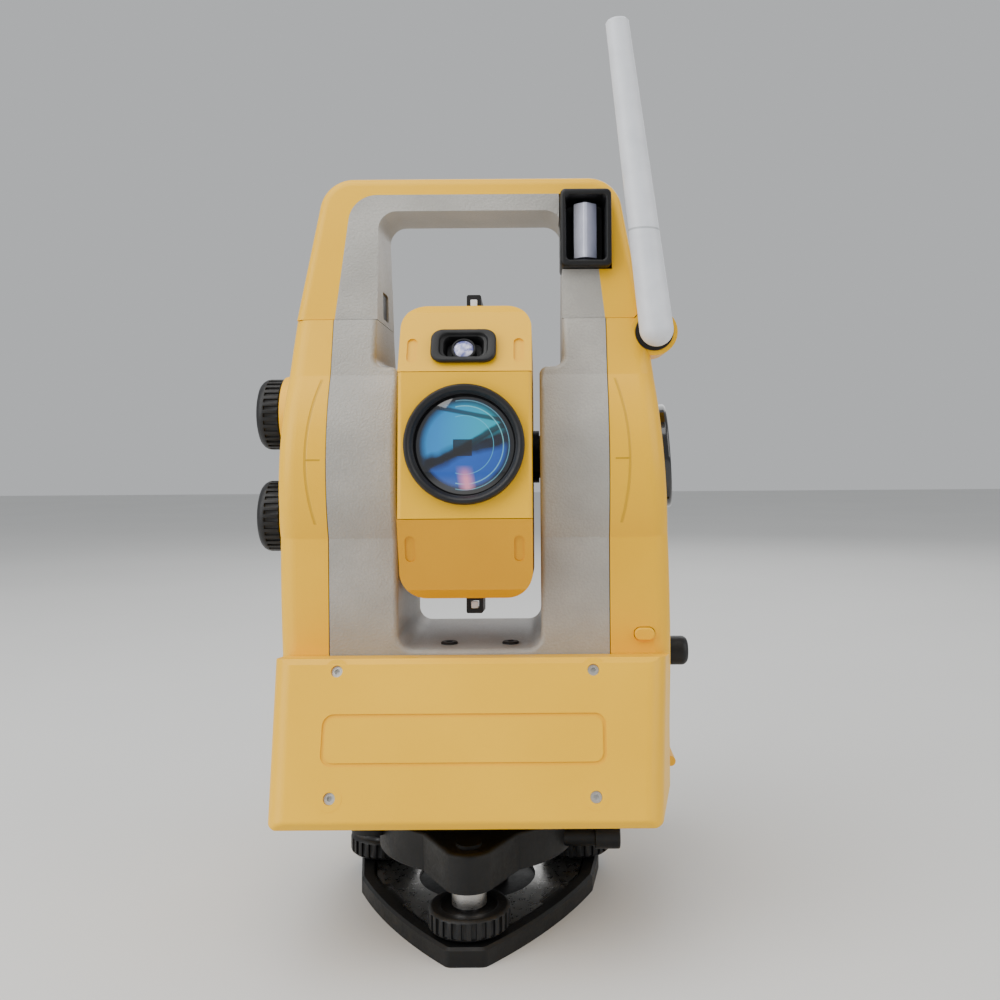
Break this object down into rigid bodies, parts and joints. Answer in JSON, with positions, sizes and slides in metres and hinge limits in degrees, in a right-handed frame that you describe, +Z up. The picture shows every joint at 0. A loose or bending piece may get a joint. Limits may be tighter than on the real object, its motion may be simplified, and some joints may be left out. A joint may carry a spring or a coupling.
{
  "type": "surveying total station",
  "caption": "Surveying total station on a levelling tribrach, with a tilting telescope between yoke arms, a carrying handle, side jog knobs and a folding antenna.",
  "frame": {"origin": "centre of the tripod thread, on the underside of the tribrach's base plate", "axes": "+Z up along the vertical axis, -Y the way the objective looks, +X to the right when facing the objective"},
  "size_m": [0.2213, 0.1946, 0.434],
  "materials": {
    "yellow_paint": "satin mustard paint with a fine grain",
    "grey_paint": "grey leather-grain paint",
    "black_plastic": "satin black",
    "gloss_black": "polished black",
    "black_metal": "black anodised casting",
    "steel": "turned steel",
    "screw_steel": "zinc plated",
    "alloy": "machined alloy",
    "brass": "turned brass",
    "pale_plastic": "light grey satin",
    "coated_glass": "blue coated glass",
    "clear_glass": "clear glass",
    "screen_glass": "dark screen glass",
    "dark_grey_plastic": "dark grey",
    "board_green": "circuit board lacquer",
    "key_grey": "moulded keys"
  },
  "bodies": {
    "tribrach": {"base_plate": "black_metal", "spring_plate": "steel", "tribrach_body": "black_metal", "circular_level_case": "black_metal", "circular_level_vial": "clear_glass", "base_flange": "black_metal", "horizontal_circle": "clear_glass"},
    "foot_screw_front": {"foot_spindle_front": "steel", "foot_knob_front": "black_plastic"},
    "foot_screw_right": {"foot_spindle_right": "steel", "foot_knob_right": "black_plastic"},
    "foot_screw_left": {"foot_spindle_left": "steel", "foot_knob_left": "black_plastic"},
    "tribrach_lock": {"lock_knob": "black_plastic"},
    "alidade": {"yoke_frame": "grey_paint", "bottom_cover": "black_metal", "left_cover": "yellow_paint", "right_cover": "yellow_paint", "circle_cover": "gloss_black", "front_cover": "yellow_paint", "rear_cover": "yellow_paint", "cover_screws": "screw_steel", "display_window": "screen_glass", "handle_shell": "yellow_paint", "handle_frame": "grey_paint", "beam_housing": "gloss_black", "beam_prism": "clear_glass", "antenna_washer": "black_plastic", "battery": "dark_grey_plastic", "main_board": "board_green", "tilt_bearings": "brass", "tilt_motor": "alloy"},
    "telescope": {"telescope_body": "yellow_paint", "telescope_top_cover": "yellow_paint", "telescope_lower_cover": "yellow_paint", "camera_bezel": "dark_grey_plastic", "camera_lens": "coated_glass", "objective_ring": "dark_grey_plastic", "objective_lens": "coated_glass", "distance_meter_prism": "clear_glass", "tilt_axles": "black_metal", "vertical_circle": "clear_glass", "eyepiece_tube": "black_plastic", "eyepiece_lens": "clear_glass", "sights": "black_plastic"},
    "focus": {"focus_ring": "black_plastic"},
    "eyepiece": {"eyepiece_ring": "black_plastic"},
    "focusing_group": {"focusing_cell": "brass", "focusing_lens": "clear_glass"},
    "jog_vertical": {"jog_knob_vertical": "black_plastic"},
    "jog_horizontal": {"jog_knob_horizontal": "black_plastic"},
    "antenna_rod": {"antenna": "pale_plastic"},
    "door": {"battery_door": "yellow_paint"},
    "door_lock": {"door_knob": "black_plastic"},
    "release": {"release_button": "yellow_paint"},
    "latch": {"handle_latch": "black_plastic"},
    "roller": {"tilt_roller": "steel"},
    "power_key": {"key_power": "key_grey"},
    "up_key": {"key_up": "key_grey"},
    "down_key": {"key_down": "key_grey"}
  },
  "joints": [
    {"name": "foot_screw_front_turn", "type": "hinge", "parent": "tribrach", "child": "foot_screw_front", "pos_m": [0, -0.06, 0.02], "axis": [0, 0, 1], "range_deg": [-1080, 1080]},
    {"name": "foot_screw_right_turn", "type": "hinge", "parent": "tribrach", "child": "foot_screw_right", "pos_m": [0.05196, 0.03, 0.02], "axis": [0, 0, 1], "range_deg": [-1080, 1080]},
    {"name": "foot_screw_left_turn", "type": "hinge", "parent": "tribrach", "child": "foot_screw_left", "pos_m": [-0.05196, 0.03, 0.02], "axis": [0, 0, 1], "range_deg": [-1080, 1080]},
    {"name": "tribrach_lock_turn", "type": "hinge", "parent": "tribrach", "child": "tribrach_lock", "pos_m": [0.066, -0.018, 0.0342], "axis": [1, 0, 0], "range_deg": [0, 180]},
    {"name": "alidade_turn", "type": "hinge", "parent": "tribrach", "child": "alidade", "pos_m": [0, 0, 0.1], "axis": [0, 0, 1], "continuous": true},
    {"name": "telescope_tilt", "type": "hinge", "parent": "alidade", "child": "telescope", "pos_m": [0, 0, 0.224], "axis": [1, 0, 0], "continuous": true},
    {"name": "tilt_roller_turn", "type": "hinge", "parent": "alidade", "child": "roller", "pos_m": [-0.072, 0, 0.1939], "axis": [1, 0, 0], "continuous": true},
    {"name": "jog_vertical_turn", "type": "hinge", "parent": "alidade", "child": "jog_vertical", "pos_m": [-0.1, 0.005, 0.247], "axis": [1, 0, 0], "continuous": true},
    {"name": "jog_horizontal_turn", "type": "hinge", "parent": "alidade", "child": "jog_horizontal", "pos_m": [-0.1, 0.005, 0.194], "axis": [1, 0, 0], "continuous": true},
    {"name": "antenna_swing", "type": "hinge", "parent": "alidade", "child": "antenna_rod", "pos_m": [0.0903, -0.0402, 0.285], "axis": [0, 1, 0], "range_deg": [0, 110]},
    {"name": "focus_turn", "type": "hinge", "parent": "telescope", "child": "focus", "pos_m": [0, 0, 0.224], "axis": [0, 0.9962, -0.0872], "range_deg": [0, 270]},
    {"name": "focusing_slide", "type": "slide", "parent": "telescope", "child": "focusing_group", "axis": [0, 0.9962, -0.0872], "range_m": [0, 0.0118]},
    {"name": "eyepiece_turn", "type": "hinge", "parent": "telescope", "child": "eyepiece", "pos_m": [0, 0, 0.224], "axis": [0, 0.9962, -0.0872], "range_deg": [-150, 150]},
    {"name": "battery_door_swing", "type": "hinge", "parent": "alidade", "child": "door", "pos_m": [0.0983, 0.005, 0.0715], "axis": [0, 1, 0], "range_deg": [0, 95]},
    {"name": "door_knob_turn", "type": "hinge", "parent": "door", "child": "door_lock", "pos_m": [0.1, 0.005, 0.122], "axis": [1, 0, 0], "range_deg": [0, 90]},
    {"name": "release_button_press", "type": "slide", "parent": "alidade", "child": "release", "axis": [0, 1, 0], "range_m": [0, 0.0015], "stiffness_N_per_m": 400, "springref_m": -0.001},
    {"name": "handle_latch_press", "type": "slide", "parent": "alidade", "child": "latch", "axis": [-1, 0, 0], "range_m": [0, 0.0012], "stiffness_N_per_m": 400, "springref_m": -0.001},
    {"name": "power_key_press", "type": "slide", "parent": "alidade", "child": "power_key", "axis": [0, -0.9393, -0.343], "range_m": [0, 0.0011], "stiffness_N_per_m": 400, "springref_m": -0.001},
    {"name": "up_key_press", "type": "slide", "parent": "alidade", "child": "up_key", "axis": [0, -0.9393, -0.343], "range_m": [0, 0.0011], "stiffness_N_per_m": 400, "springref_m": -0.001},
    {"name": "down_key_press", "type": "slide", "parent": "alidade", "child": "down_key", "axis": [0, -0.9393, -0.343], "range_m": [0, 0.0011], "stiffness_N_per_m": 400, "springref_m": -0.001}
  ],
  "couplings": [
    {"joint": "tilt_roller_turn", "follows": "telescope_tilt", "ratio": -5},
    {"joint": "focusing_slide", "follows": "focus_turn", "m_per_rad": 0.0025}
  ]
}
